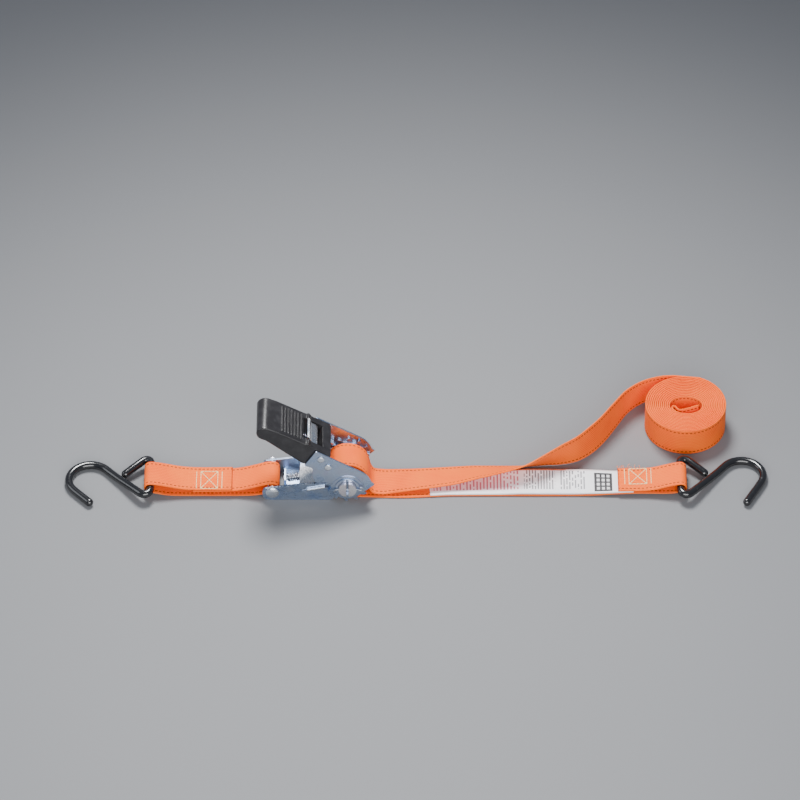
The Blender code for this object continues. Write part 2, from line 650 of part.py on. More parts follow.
def hook(name, eye_x, side, centre, radius, tip, front_corner, rear_corner, leg_end):
    """One hook lying flat. Its drawing has p away from the eye's bar and q to the rear."""
    c = Vector(centre)
    front = Vector((0.0, front_corner))
    gap = (c - front).length
    swing = math.acos(radius / gap)
    back = math.atan2(front.y - c.y, front.x - c.x)
    top_turn = back - swing
    tip_point = Vector(tip)
    tip_gap = (tip_point - c).length
    low_turn = math.atan2(tip_point.y - c.y, tip_point.x - c.x) + math.acos(radius / tip_gap)
    top_turn %= 2 * math.pi
    low_turn = (low_turn + math.pi) % (2 * math.pi) - math.pi
    arc = []
    for k in range(15):
        angle = low_turn + (top_turn - low_turn) * k / 14
        arc.append(c + Vector((math.cos(angle), math.sin(angle))) * radius)
    corners = [(*arc[-1], 0), (0.0, front_corner, 4.0), (0.0, rear_corner, 3.4), (*leg_end, 0)]
    eye = rounded(corners, 6)
    line = [tip_point, *arc, *[Vector(p) for p in eye[1:]]]
    dense = []
    for a, b in zip(line, line[1:]):
        pieces = max(1, round((b - a).length / 7.0))
        dense += [a + (b - a) * k / pieces for k in range(pieces)]
    dense.append(line[-1])
    points = []
    for spot in dense:
        drop = min(max(spot.x / 34.0, 0.0), 1.0)
        height = EYE_Z + (WIRE_R + 0.05 - EYE_Z) * (3 * drop**2 - 2 * drop**3)
        points.append(Vector((eye_x + side * spot.x, spot.y, height)))
    finish(name, wire_mesh(points, WIRE_R, 12), "black_vinyl", (eye_x, 0.0, EYE_Z))


hook("left_hook", LEFT_EYE_X, -1, (46.5, 2.2), 16.5, (46.4, -22.0), -25.0, 23.5, (19.5, 6.8))
hook("right_hook", RIGHT_EYE_X, 1, (47.7, 7.0), 16.4, (50.5, -21.6), -26.0, 24.0, (18.7, 7.9))
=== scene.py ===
"""Ratchet strap: the looks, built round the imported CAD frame.

Routes and sizes are in the drawing's millimetres until a mesh is made. Colours are linear.
"""

import json
import math

import bmesh
import bpy
import numpy as np
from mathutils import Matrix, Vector

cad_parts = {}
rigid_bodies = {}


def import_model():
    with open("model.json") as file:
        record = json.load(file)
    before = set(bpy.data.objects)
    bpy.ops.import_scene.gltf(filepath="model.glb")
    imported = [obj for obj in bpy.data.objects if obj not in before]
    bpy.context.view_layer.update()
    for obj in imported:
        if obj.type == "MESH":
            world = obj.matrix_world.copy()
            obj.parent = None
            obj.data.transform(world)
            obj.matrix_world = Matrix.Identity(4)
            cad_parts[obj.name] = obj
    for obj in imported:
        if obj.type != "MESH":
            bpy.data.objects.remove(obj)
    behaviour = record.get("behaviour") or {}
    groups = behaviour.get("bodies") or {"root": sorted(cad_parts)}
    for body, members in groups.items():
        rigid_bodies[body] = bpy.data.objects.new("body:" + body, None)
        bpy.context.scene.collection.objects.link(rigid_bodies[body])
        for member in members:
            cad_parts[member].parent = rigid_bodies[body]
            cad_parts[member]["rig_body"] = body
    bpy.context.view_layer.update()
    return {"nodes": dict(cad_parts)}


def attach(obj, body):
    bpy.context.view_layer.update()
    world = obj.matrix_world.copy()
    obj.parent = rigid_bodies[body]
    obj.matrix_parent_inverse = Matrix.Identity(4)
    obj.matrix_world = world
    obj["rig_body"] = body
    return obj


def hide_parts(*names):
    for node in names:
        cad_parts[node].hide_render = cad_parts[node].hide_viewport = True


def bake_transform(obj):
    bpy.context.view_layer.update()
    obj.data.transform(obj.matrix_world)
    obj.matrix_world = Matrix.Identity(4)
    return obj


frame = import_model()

NODES = frame["nodes"]

# The middle of the drawing in X and Y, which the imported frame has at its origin
MM = 0.001
MIDDLE = np.array((0.08, 35.73, 0.0))
TURN = 2 * math.pi

# Webbing: its lengthwise ribs, the pitch of its weft, and how far it lies to the front at the buckle
WEB_WIDTH = 25.0
WEB_THICK = 1.2
RIBS = 15
RIB_PITCH = WEB_WIDTH / RIBS
WEFT_PITCH = 1.3
LONG_DRIFT = 1.2
DRIFT_START, DRIFT_LENGTH = -40.0, 90.0

# Label: its width is a little less than the webbing's
LABEL_WIDTH = WEB_WIDTH - 0.4
LABEL_THICK = 0.3

# Buckle
AXLE_X, AXLE_Z = -52.5, 17.1
PIN_X, PIN_Z, PIN_R = -110.2, 8.3, 4.0
LOCK_X, LOCK_Z, LOCK_SLOPE = -89.0, 10.2, math.radians(12.0)
RAISE = math.radians(33.7)

# Hooks: wire, height of the eye's straight bar, and the webbing loop round it
WIRE_R = 3.15
EYE_Z = 8.5
LEFT_EYE_X, RIGHT_EYE_X = -204.0, 203.1
WEB_SLACK = 0.4
LOOP_R = WIRE_R + WEB_SLACK + WEB_THICK / 2

# The outermost turns on the spool, the turns inside them, and the roll with its oval core
COIL_R = 15.8
WOUND_START_R, WOUND_PITCH, WOUND_TURNS = 7.6, 2.56, 2.6
ROLL_X, ROLL_Y, ROLL_R = 208.6, 64.6, 31.5
ROLL_Z = WEB_WIDTH / 2 + 0.2
LAST_TURN = 13.715
CORE_X, CORE_Y, CORE_LONG, CORE_SHORT = 209.5, 62.6, 12.1, 9.2

# ---- Camera, light and floor ----------------------------------------------------------------

ELEVATION = math.radians(44.0)
DISTANCE = 4.5
LENS = 259.3
AIM = Vector((-0.0124, 0.0584, 0.0))
SKY = (0.74, 0.82, 1.0, 1.0)
SKY_STRENGTH = 0.3
FLOOR_HALF = 6
FLOOR_GAP = 0.0001

cam = bpy.data.objects.new("camera", bpy.data.cameras.new("camera"))
bpy.context.scene.collection.objects.link(cam)
back = Vector((0.0, -math.cos(ELEVATION), math.sin(ELEVATION)))
cam.location = AIM + back * DISTANCE
cam.rotation_euler = (math.pi / 2 - ELEVATION, 0.0, 0.0)
cam.data.sensor_width = 36.0
cam.data.lens = LENS
cam.data.clip_start = 0.01
cam.data.clip_end = 50.0
bpy.context.scene.camera = cam


def place_light(data, place, aim):
    """A light at a place, facing a point."""
    lamp = bpy.data.objects.new(data.name, data)
    bpy.context.scene.collection.objects.link(lamp)
    lamp.location = place
    lamp.rotation_euler = (Vector(aim) - Vector(place)).to_track_quat("-Z", "Y").to_euler()


def area_light(name, place, aim, size, power, color=(1.0, 1.0, 1.0)):
    """A large soft light."""
    data = bpy.data.lights.new(name, "AREA")
    data.shape = "RECTANGLE"
    data.size, data.size_y = size
    data.energy = power
    data.color = color
    place_light(data, place, aim)


key = bpy.data.lights.new("key_light", "SPOT")
key.energy = 150.0
key.shadow_soft_size = 0.26
key.spot_size = math.radians(73.0)
key.spot_blend = 1.0
place_light(key, (-0.1, 0.55, 1.2), (0.0, -0.3, 0.0))
area_light("front_fill", (0.1, -1.4, 0.8), (0.0, 0.0, 0.0), (1.6, 0.9), 32.0)
area_light("left_fill", (-1.5, 0.1, 0.8), (0.0, 0.0, 0.02), (0.8, 0.8), 5.0, (0.93, 0.96, 1.0))

world = bpy.data.worlds.new("studio")
world.use_nodes = True
sky = world.node_tree.nodes["Background"]
sky.inputs["Color"].default_value = SKY
sky.inputs["Strength"].default_value = SKY_STRENGTH
bpy.context.scene.world = world

# ---- Materials ------------------------------------------------------------------------------


class Look:
    """One procedural material, with short calls for the nodes that it needs."""

    def __init__(self, name):
        self.mat = bpy.data.materials.new(name)
        self.mat.use_nodes = True
        self.tree = self.mat.node_tree
        self.shader = self.tree.nodes["Principled BSDF"]

    def put(self, socket, value):
        if isinstance(value, bpy.types.NodeSocket):
            self.tree.links.new(value, socket)
        elif isinstance(value, tuple) and len(value) == 3 and socket.type == "RGBA":
            socket.default_value = (*value, 1.0)
        else:
            socket.default_value = value

    def set(self, **inputs):
        for name, value in inputs.items():
            self.put(self.shader.inputs[name.replace("_", " ")], value)

    def math(self, operation, *values):
        node = self.tree.nodes.new("ShaderNodeMath")
        node.operation = operation
        for socket, value in zip(node.inputs, values):
            self.put(socket, value)
        return node.outputs[0]

    def times(self, *values):
        """The product of all the values."""
        product = values[0]
        for value in values[1:]:
            product = self.math("MULTIPLY", product, value)
        return product

    def off(self, value, middle):
        """How far a value is from a middle, either way."""
        return self.math("ABSOLUTE", self.math("SUBTRACT", value, middle))

    def phase(self, value, pitch):
        """Where a value is in its own step of a pitch, from 0 to 1."""
        return self.math("FRACT", self.math("DIVIDE", value, pitch))

    def below(self, value, limit):
        return self.math("LESS_THAN", value, limit)

    def inside(self, value, low, high):
        return self.times(self.math("GREATER_THAN", value, low), self.below(value, high))

    def wave(self, value, pitch):
        return self.math("SINE", self.times(value, TURN / pitch))

    def vary(self, base, pattern, amount):
        """A base with a 0 to 1 pattern added round its middle."""
        return self.math("MULTIPLY_ADD", self.math("SUBTRACT", pattern, 0.5), amount, base)

    def attribute(self, name):
        node = self.tree.nodes.new("ShaderNodeAttribute")
        node.attribute_name = name
        return node.outputs["Fac"]

    def place(self):
        return self.tree.nodes.new("ShaderNodeTexCoord").outputs["Object"]

    def stretch(self, scale, rotation):
        node = self.tree.nodes.new("ShaderNodeMapping")
        self.put(node.inputs["Vector"], self.place())
        self.put(node.inputs["Scale"], scale)
        self.put(node.inputs["Rotation"], rotation)
        return node.outputs[0]

    def noise(self, scale, detail, vector=None, rough=0.5):
        node = self.tree.nodes.new("ShaderNodeTexNoise")
        self.put(node.inputs["Vector"], vector or self.place())
        self.put(node.inputs["Scale"], scale)
        self.put(node.inputs["Detail"], detail)
        self.put(node.inputs["Roughness"], rough)
        return node.outputs["Fac"]

    def scatter(self, *values):
        """A steady random number for each set of whole numbers."""
        vector = self.tree.nodes.new("ShaderNodeCombineXYZ")
        for socket, value in zip(vector.inputs, values):
            self.put(socket, value)
        node = self.tree.nodes.new("ShaderNodeTexWhiteNoise")
        self.put(node.inputs["Vector"], vector.outputs[0])
        return node.outputs["Value"]

    def between(self, value, low, high, to_low=0.0, to_high=1.0):
        node = self.tree.nodes.new("ShaderNodeMapRange")
        for name, number in (
            ("Value", value),
            ("From Min", low),
            ("From Max", high),
            ("To Min", to_low),
            ("To Max", to_high),
        ):
            self.put(node.inputs[name], number)
        return node.outputs[0]

    def mix(self, share, first, second):
        node = self.tree.nodes.new("ShaderNodeMix")
        node.data_type = "RGBA"
        share_in, first_in, second_in = node.inputs[0], node.inputs[6], node.inputs[7]
        self.put(share_in, share)
        self.put(first_in, first)
        self.put(second_in, second)
        return node.outputs[2]

    def ramp(self, value, *stops):
        node = self.tree.nodes.new("ShaderNodeValToRGB")
        self.put(node.inputs[0], value)
        ramp = node.color_ramp
        while len(ramp.elements) < len(stops):
            ramp.elements.new(0.5)
        for element, (spot, color) in zip(ramp.elements, stops):
            element.position = spot
            element.color = (*color, 1.0)
        return node.outputs[0]

    def bump(self, height, depth_mm, strength):
        node = self.tree.nodes.new("ShaderNodeBump")
        self.put(node.inputs["Height"], height)
        self.put(node.inputs["Distance"], depth_mm * MM)
        self.put(node.inputs["Strength"], strength)
        self.put(self.shader.inputs["Normal"], node.outputs[0])


# Webbing: yarn from the bottom of the weave to its top, darker in the grooves as painted shade and
# lighter on the cord tops as painted light, the tracer dash and the heat-sealed ends
YARN_IN_GROOVE_SHADE = (0.62, 0.035, 0.001)
YARN = (1.0, 0.114, 0.001)
YARN_LIT = (1.0, 0.185, 0.010)
TRACER = (0.13, 0.008, 0.006)
TRACER_FROM_MIDDLE, TRACER_HALF = 9.9, 0.5
TRACER_PITCH, TRACER_DASH = 3.1, 0.56
SEALED = (0.32, 0.030, 0.004)


def webbing_look():
    """Orange polyester webbing: lengthwise cords crossed by weft, a dark tracer dash near each edge."""
    look = Look("orange_webbing")
    along = look.attribute("web_u")
    across = look.attribute("web_v")
    end = look.attribute("web_end")

    # Neighbouring cords are half a weft apart, and each weft slants away from its cord's middle
    cord = look.math("FLOOR", look.math("DIVIDE", across, RIB_PITCH))
    inside = look.phase(across, RIB_PITCH)
    shift = look.times(look.math("PINGPONG", cord, 1.0), 0.5)
    turn = look.math("ADD", look.math("DIVIDE", along, WEFT_PITCH), shift)
    slant = look.times(look.off(inside, 0.5), 0.9)
    wave = look.wave(look.math("ADD", turn, slant), 1.0)
    weft = look.math("MULTIPLY_ADD", wave, 0.5, 0.5)
    round_cord = look.math("SINE", look.times(inside, math.pi))
    height = look.times(
        look.math("POWER", round_cord, 0.6),
        look.math("MULTIPLY_ADD", weft, 0.55, 0.45),
    )
    fuzz = look.noise(2600.0, 2.0)
    height = look.math("MULTIPLY_ADD", fuzz, 0.18, height)

    # The colour follows the weave's height: painted shade down in the grooves and painted light on the
    # cord tops, with a random mottle over both
    groove_shade_and_mottle = look.vary(height, look.noise(55.0, 4.0), 0.7)
    color = look.ramp(groove_shade_and_mottle, (0.0, YARN_IN_GROOVE_SHADE), (0.45, YARN), (1.0, YARN_LIT))
    from_line = look.off(look.math("ABSOLUTE", across), TRACER_FROM_MIDDLE)
    line = look.below(from_line, TRACER_HALF)
    dash = look.below(look.phase(along, TRACER_PITCH), TRACER_DASH)
    color = look.mix(look.times(line, dash, 0.82), color, TRACER)
    sealed = look.between(end, 0.2, 1.3, 0.75, 0.0)
    color = look.mix(sealed, color, SEALED)
    look.set(Base_Color=color)
    look.set(Roughness=look.math("SUBTRACT", 0.78, look.times(sealed, 0.4)))
    look.set(Specular_IOR_Level=0.2, Sheen_Weight=0.06, Sheen_Roughness=0.45)
    look.set(Sheen_Tint=(1.0, 0.55, 0.30))
    look.bump(height, 0.16, 0.8)
    return look.mat


# Label: tape, the pink tint on its left part, and its red, grey and black print
TAPE_DULL, TAPE_WHITE = (0.90, 0.90, 0.92), (0.97, 0.97, 0.98)
TINT = (0.90, 0.22, 0.28)
RED_PRINT = (0.50, 0.03, 0.08)
GREY_PRINT = (0.10, 0.10, 0.12)
BLACK_PRINT = (0.022, 0.021, 0.024)
TINT_START, TINT_FADE, TINT_END = 1.0, 40.0, 78.0
TABLE_U, TABLE_V = 134.0, -0.5
TABLE_HALF_U, TABLE_HALF_V = 6.9, 9.5
CELLS_HALF_U, CELLS_HALF_V = 5.7, 8.5
CELL_U, CELL_V = 3.8, 4.25
TAPE_PITCH = 0.5


def label_look():
    """White woven tape with plain bars, rules and an empty table for print."""
    look = Look("white_label")
    along = look.attribute("web_u")
    across = look.attribute("web_v")

    def bars(start, stop, row_pitch, dash, density, seed):
        """Rows of short bars of uneven length between two places along the label."""
        row = look.math("FLOOR", look.math("DIVIDE", along, row_pitch))
        stroke = look.below(look.phase(along, row_pitch), 0.46)
        step = look.math("ADD", look.math("DIVIDE", across, dash), look.times(row, 0.37))
        printed = look.below(look.scatter(look.math("FLOOR", step), row, seed), density)
        band = look.inside(along, start, stop)
        return look.times(stroke, printed, band, look.inside(across, -7.4, 10.6))

    color = look.mix(look.noise(90.0, 3.0), TAPE_DULL, TAPE_WHITE)
    fade = look.between(along, TINT_FADE, TINT_END, 1.0, 0.0)
    tinted = look.times(look.inside(along, TINT_START, TINT_END), look.inside(across, -7.6, 11.6))
    color = look.mix(look.times(tinted, fade, 0.42), color, TINT)
    color = look.mix(look.times(bars(3.0, 69.0, 2.6, 2.1, 0.78, 1.0), 0.8), color, RED_PRINT)
    color = look.mix(look.times(bars(73.0, 97.0, 2.2, 1.6, 0.8, 2.0), 0.85), color, GREY_PRINT)
    color = look.mix(look.times(bars(101.0, 121.0, 2.2, 1.6, 0.7, 3.0), 0.85), color, GREY_PRINT)

    # The table: a black block with paler cells in its middle part
    table_u = look.off(along, TABLE_U)
    table_v = look.off(across, TABLE_V)
    table = look.times(look.below(table_u, TABLE_HALF_U), look.below(table_v, TABLE_HALF_V))
    cell_u = look.phase(look.math("SUBTRACT", along, TABLE_U - CELLS_HALF_U), CELL_U)
    cell_v = look.phase(look.math("SUBTRACT", across, TABLE_V - CELLS_HALF_V), CELL_V)
    cells = look.times(look.inside(cell_u, 0.2, 0.8), look.inside(cell_v, 0.18, 0.82))
    within = look.times(look.below(table_u, CELLS_HALF_U), look.below(table_v, CELLS_HALF_V))
    ink = look.times(table, look.math("SUBTRACT", 1.0, look.times(cells, within, 0.72)))
    color = look.mix(ink, color, BLACK_PRINT)
    look.set(Base_Color=color, Roughness=0.55, Specular_IOR_Level=0.4)
    weave = look.times(look.wave(along, TAPE_PITCH), look.wave(across, TAPE_PITCH))
    look.bump(weave, 0.03, 0.4)
    return look.mat


# Plated steel: blue, grey, plain and straw patches, and where each lies on the noise's scale
PATCHES = (
    (0.28, (0.50, 0.57, 0.70)),
    (0.45, (0.62, 0.66, 0.72)),
    (0.58, (0.66, 0.66, 0.68)),
    (0.72, (0.66, 0.60, 0.66)),
)
SCUFF = (0.24, 0.25, 0.28)


def zinc_look(name, tint, scale, rough):
    """Zinc-plated sheet steel: faint blue and straw passivation, rolling scratches, scuffed specks."""
    look = Look(name)
    cloud = look.noise(85.0 * scale, 3.0)
    stops = [(spot, tuple(c * t for c, t in zip(patch, tint))) for spot, patch in PATCHES]
    color = look.ramp(cloud, *stops)
    scratch = look.noise(260.0, 4.0, look.stretch((1.0, 1.0, 14.0), (0.0, 0.5, 0.0)), 0.65)
    grain = look.noise(1900.0, 2.0)
    speck = look.between(look.noise(700.0, 2.0), 0.66, 0.72)
    color = look.mix(look.times(speck, 0.45), color, SCUFF)
    gloss = look.vary(look.vary(rough, scratch, 0.3), cloud, 0.3)
    look.set(Base_Color=color, Metallic=1.0, Roughness=gloss)
    look.bump(look.math("MULTIPLY_ADD", grain, 0.5, scratch), 0.012, 0.25)
    return look.mat


def plastic_look():
    """Black moulded plastic with a fine spark-eroded texture."""
    look = Look("black_plastic")
    grain = look.noise(1500.0, 3.0)
    scuff = look.noise(160.0, 5.0, None, 0.62)
    worn = look.between(scuff, 0.45, 0.75)
    color = look.mix(worn, (0.014, 0.013, 0.014), (0.028, 0.027, 0.029))
    look.set(Base_Color=color, Roughness=look.vary(0.3, scuff, 0.16), Specular_IOR_Level=0.6)
    look.bump(grain, 0.05, 0.45)
    return look.mat


def vinyl_look():
    """Black dipped vinyl: a glossy skin with soft ripples and a little dust."""
    look = Look("black_vinyl")
    ripple = look.noise(120.0, 3.0)
    dust = look.between(look.noise(420.0, 4.0, None, 0.7), 0.58, 0.75)
    color = look.mix(look.times(dust, 0.5), (0.008, 0.008, 0.009), (0.050, 0.050, 0.053))
    look.set(Base_Color=color, Roughness=look.math("MULTIPLY_ADD", dust, 0.22, 0.17))
    look.set(Specular_IOR_Level=0.6, Coat_Weight=0.35, Coat_Roughness=0.12)
    look.bump(ripple, 0.35, 0.25)
    return look.mat


def thread_look(name, dark, light):
    """Twisted thread, darker between its plies and lighter on them: painted shade and painted light."""
    look = Look(name)
    ply = look.wave(look.attribute("web_u"), 0.45)
    color = look.mix(look.math("MULTIPLY_ADD", ply, 0.5, 0.5), dark, light)
    look.set(Base_Color=color, Roughness=0.6, Sheen_Weight=0.3)
    look.bump(ply, 0.03, 0.5)
    return look.mat


def floor_look():
    """Plain grey floor with a very faint mottle."""
    look = Look("floor")
    color = look.mix(look.noise(3.0, 2.0), (0.190, 0.194, 0.202), (0.198, 0.202, 0.210))
    look.set(Base_Color=color, Roughness=0.62, Specular_IOR_Level=0.3)
    return look.mat


WEBBING = webbing_look()
LABEL = label_look()
ZINC = zinc_look("zinc", (0.74, 0.85, 1.02), 1.0, 0.3)
# A lighter copy of the zinc plating: partly a brighter finish, partly painted highlight for the strong
# reflections on the pawls, bars, rivets and pin
BRIGHT_STEEL_PAINTED_LIGHT = zinc_look("bright_steel", (1.32, 1.31, 1.28), 0.7, 0.26)
SPRING = zinc_look("spring_steel", (0.72, 0.73, 0.76), 1.6, 0.3)
PLASTIC = plastic_look()
VINYL = vinyl_look()
THREAD = thread_look("pale_thread", (0.96, 0.58, 0.20), (1.0, 0.84, 0.42))
LOOSE = thread_look("orange_thread", (0.80, 0.12, 0.012), (1.0, 0.26, 0.05))

floor_mesh = bpy.data.meshes.new("floor")
corners = [(-1, -1), (1, -1), (1, 1), (-1, 1)]
floor_mesh.from_pydata([(x * FLOOR_HALF, y * FLOOR_HALF, 0) for x, y in corners], [], [(0, 1, 2, 3)])
floor_mesh.materials.append(floor_look())
floor = bpy.data.objects.new("floor", floor_mesh)
bpy.context.scene.collection.objects.link(floor)
floor.location.z = -FLOOR_GAP

# ---- Mesh helpers ---------------------------------------------------------------------------


# Steps between two points of a route, and how far in from its edges a strap is rounded
SMOOTH = 8
EDGE_ROUND = 0.55
# No wire starts along this direction, so it can give the first ring its side
ASKEW = (0.31, 0.17, 0.94)
# Wider than this between two faces, an edge is rounded over
SHARP = math.radians(38.0)


def sweep(name, rings, material, attributes=None):
    """A closed mesh from rings of points, each an (n, 3) array in drawing millimetres."""
    rings = np.asarray(rings, float)
    count, sides = rings.shape[:2]
    points = (rings.reshape(-1, 3) - MIDDLE) * MM
    row = np.arange(count - 1)[:, None] * sides
    here = row + np.arange(sides)[None, :]
    beside = row + (np.arange(sides)[None, :] + 1) % sides
    quads = np.stack([here, beside, beside + sides, here + sides], -1).reshape(-1, 4)
    faces = quads.tolist()
    faces.append(list(range(sides))[::-1])
    faces.append(list(range((count - 1) * sides, count * sides)))
    mesh = bpy.data.meshes.new(name)
    mesh.from_pydata(points.tolist(), [], faces)
    for key, values in (attributes or {}).items():
        layer = mesh.attributes.new(key, "FLOAT", "POINT")
        layer.data.foreach_set("value", np.asarray(values, np.float32).ravel())
    mesh.polygons.foreach_set("use_smooth", [True] * len(faces))
    mesh.materials.append(material)
    mesh.update()
    bm = bmesh.new()
    bm.from_mesh(mesh)
    bmesh.ops.recalc_face_normals(bm, faces=bm.faces)
    bm.to_mesh(mesh)
    bm.free()
    piece = bpy.data.objects.new(name, mesh)
    bpy.context.scene.collection.objects.link(piece)
    return piece


def curve(points, steps):
    """A Catmull-Rom curve through points, with so many steps between two of them."""
    p = np.asarray(points, float)
    chain = np.vstack([2 * p[0] - p[1], p, 2 * p[-1] - p[-2]])
    out = []
    for a, b, c, d in zip(chain, chain[1:], chain[2:], chain[3:]):
        for k in range(steps):
            t = k / steps
            cubic = (3 * b - a - 3 * c + d) * t**3
            square = (2 * a - 5 * b + 4 * c - d) * t**2
            out.append((2 * b + (c - a) * t + square + cubic) / 2)
    out.append(p[-1])
    return np.array(out)


def even(points, step, *others):
    """The same line with points a step apart, and anything else that is known at its points.

    The first result is each new point's distance along the line.
    """
    length = np.concatenate([[0], np.cumsum(np.linalg.norm(np.diff(points, axis=0), axis=1))])
    spots = np.linspace(0, length[-1], max(2, round(length[-1] / step) + 1))

    def along(values):
        return np.stack([np.interp(spots, length, values[:, k]) for k in range(values.shape[1])], 1)

    return (spots, along(points), *[along(o) for o in others])


def unit(vectors):
    """Each vector at length one."""
    return vectors / np.linalg.norm(vectors, axis=-1, keepdims=True)


def section(width, thick, ribs, per_rib, groove):
    """The outline of a strap cut across: ribbed faces and rounded edges."""
    v = np.linspace(-width / 2, width / 2, ribs * per_rib + 1)
    rib = 0.5 - 0.5 * np.cos(TURN * (v + width / 2) * ribs / width)
    edge = np.clip((np.abs(v) - (width / 2 - EDGE_ROUND)) / EDGE_ROUND, 0, 1)
    h = (thick / 2 - groove * (1 - rib)) * np.sqrt(1 - edge**2)
    top = np.stack([v, h], 1)
    under = np.stack([v[-2:0:-1], -h[-2:0:-1]], 1)
    return np.vstack([top, under])


def strap(
    name,
    points,
    across,
    body,
    nodes,
    step=1.4,
    per_rib=4,
    material=WEBBING,
    slot="orange_webbing",
    width=WEB_WIDTH,
    thick=WEB_THICK,
    ribs=RIBS,
    groove=0.11,
):
    """A woven strap along points, with its width along the matching across directions.

    It keeps the distance along it, across it and from its nearer end for the material, and
    returns the piece and its length.
    """
    spots, line, wide = even(points, step, across)
    along = unit(np.gradient(line, axis=0))
    wide = unit(wide - (wide * along).sum(1, keepdims=True) * along)
    up = np.cross(along, wide)
    cut = section(width, thick, ribs, per_rib, groove)
    rings = line[:, None] + wide[:, None] * cut[None, :, :1] + up[:, None] * cut[None, :, 1:]
    sides = len(cut)
    u = np.repeat(spots[:, None], sides, 1)
    v = np.repeat(cut[None, :, 0], len(spots), 0)
    ends = np.minimum(u, spots[-1] - u)
    piece = sweep(name, rings, material, {"web_u": u, "web_v": v, "web_end": ends})
    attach(piece, body)
    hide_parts(*nodes)
    return piece, float(spots[-1])


def tube(name, points, radii, sides, material, keep_u=False):
    """A round wire along points, with a radius for each point, in drawing millimetres."""
    line = np.asarray(points, float)
    along = unit(np.gradient(line, axis=0))
    side = np.cross(along[0], ASKEW)
    frames = []
    for t in along:
        side = side - side.dot(t) * t
        side = side / np.linalg.norm(side)
        frames.append((side, np.cross(t, side)))
    turn = np.linspace(0, TURN, sides, endpoint=False)
    rings = []
    for p, (a, b), r in zip(line, frames, radii):
        rings.append(p + r * (np.cos(turn)[:, None] * a + np.sin(turn)[:, None] * b))
    length = np.concatenate([[0], np.cumsum(np.linalg.norm(np.diff(line, axis=0), axis=1))])
    extra = {"web_u": np.repeat(length[:, None], sides, 1)} if keep_u else None
    return sweep(name, rings, material, extra)


def domed(points, radius, steps):
    """A wire's line and radii with a round dome added at each end."""
    line = np.asarray(points, float)
    first = unit(line[0] - line[1])
    last = unit(line[-1] - line[-2])
    # The dome stops short of its pole, so its last ring still has a size
    angle = np.linspace(0, math.pi / 2, steps + 1)[1:] * 0.97
    tip = line[-1] + last * radius * np.sin(angle)[:, None]
    start = line[0] + first * radius * np.sin(angle)[::-1, None]
    dome = radius * np.cos(angle)
    body = np.full(len(line), radius)
    return np.vstack([start, line, tip]), np.concatenate([dome[::-1], body, dome])


def join(name, pieces):
    """Several meshes as one piece."""
    bm = bmesh.new()
    materials = list(pieces[0].data.materials)
    for piece in pieces:
        bm.from_mesh(piece.data)
    mesh = bpy.data.meshes.new(name)
    bm.to_mesh(mesh)
    bm.free()
    for piece in pieces:
        old = piece.data
        bpy.data.objects.remove(piece)
        bpy.data.meshes.remove(old)
    for mat in materials:
        mesh.materials.append(mat)
    one = bpy.data.objects.new(name, mesh)
    bpy.context.scene.collection.objects.link(one)
    return one


def refine(node, material, width_mm, segments=2, merge=True):
    """The CAD node's own shape with its sharp edges rounded over, standing for that node.

    With merge, flat faces in one plane become one face before the rounding.
    """
    bm = bmesh.new()
    bm.from_mesh(NODES[node].data)
    bmesh.ops.remove_doubles(bm, verts=bm.verts, dist=2e-6)
    if merge:
        bmesh.ops.dissolve_limit(bm, angle_limit=0.01, verts=bm.verts, edges=bm.edges)
    mesh = bpy.data.meshes.new(node + "_rounded")
    bm.to_mesh(mesh)
    bm.free()
    mesh.polygons.foreach_set("use_smooth", [True] * len(mesh.polygons))
    mesh.materials.append(material)
    piece = bpy.data.objects.new(node + "_rounded", mesh)
    bpy.context.scene.collection.objects.link(piece)
    edge = piece.modifiers.new("rounded_edges", "BEVEL")
    edge.width = width_mm * MM
    edge.segments = segments
    edge.limit_method = "ANGLE"
    edge.angle_limit = SHARP
    edge.use_clamp_overlap = merge
    edge.miter_outer = "MITER_ARC"
    weld = piece.modifiers.new("no_empty_faces", "WELD")
    weld.merge_threshold = 0.005 * MM
    normal = piece.modifiers.new("flat_faces", "WEIGHTED_NORMAL")
    normal.weight = 80
    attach(piece, NODES[node]["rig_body"])
    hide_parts(node)


def arc(x, z, radius, start, turn, count):
    """Points on a circle in the XZ plane, from an angle in degrees over a turn."""
    angles = np.radians(start + turn * np.linspace(0, 1, count))
    return [(x + radius * math.cos(a), z + radius * math.sin(a)) for a in angles]


def drift(x):
    """How far the long strap lies to the front of the middle, where it leaves the buckle."""
    share = min(max((x - DRIFT_START) / DRIFT_LENGTH, 0.0), 1.0)
    return -LONG_DRIFT * (1 - share * share * (3 - 2 * share))


def flat_path(path, shift=lambda x: 0.0):
    """XZ route points as a smooth line with its width along Y."""
    line = curve([(x, 0.0, z) for x, z in path], SMOOTH)
    line[:, 1] = [shift(x) for x in line[:, 0]]
    return line, np.tile((0.0, 1.0, 0.0), (len(line), 1))


# ---- Metal and plastic of the buckle --------------------------------------------------------

for node in ("frame_channel", "handle_plate_front", "handle_plate_rear"):
    refine(node, ZINC, 0.3)
for node in ("ratchet_wheel_front", "ratchet_wheel_rear", "spool_washer_front", "spool_washer_rear"):
    refine(node, ZINC, 0.2)
for node in ("lock_pawl", "release_pawl"):
    refine(node, BRIGHT_STEEL_PAINTED_LIGHT, 0.3)
for node in ("spool_bar_left", "spool_bar_right", "handle_rivet_grip", "handle_rivet_guide"):
    refine(node, BRIGHT_STEEL_PAINTED_LIGHT, 0.35)
refine("strap_pin", BRIGHT_STEEL_PAINTED_LIGHT, 0.8, 5)
for node in ("cotter_pin_front", "cotter_pin_rear"):
    refine(node, SPRING, 0.1)
refine("handle_grip", PLASTIC, 0.35, 3, merge=False)


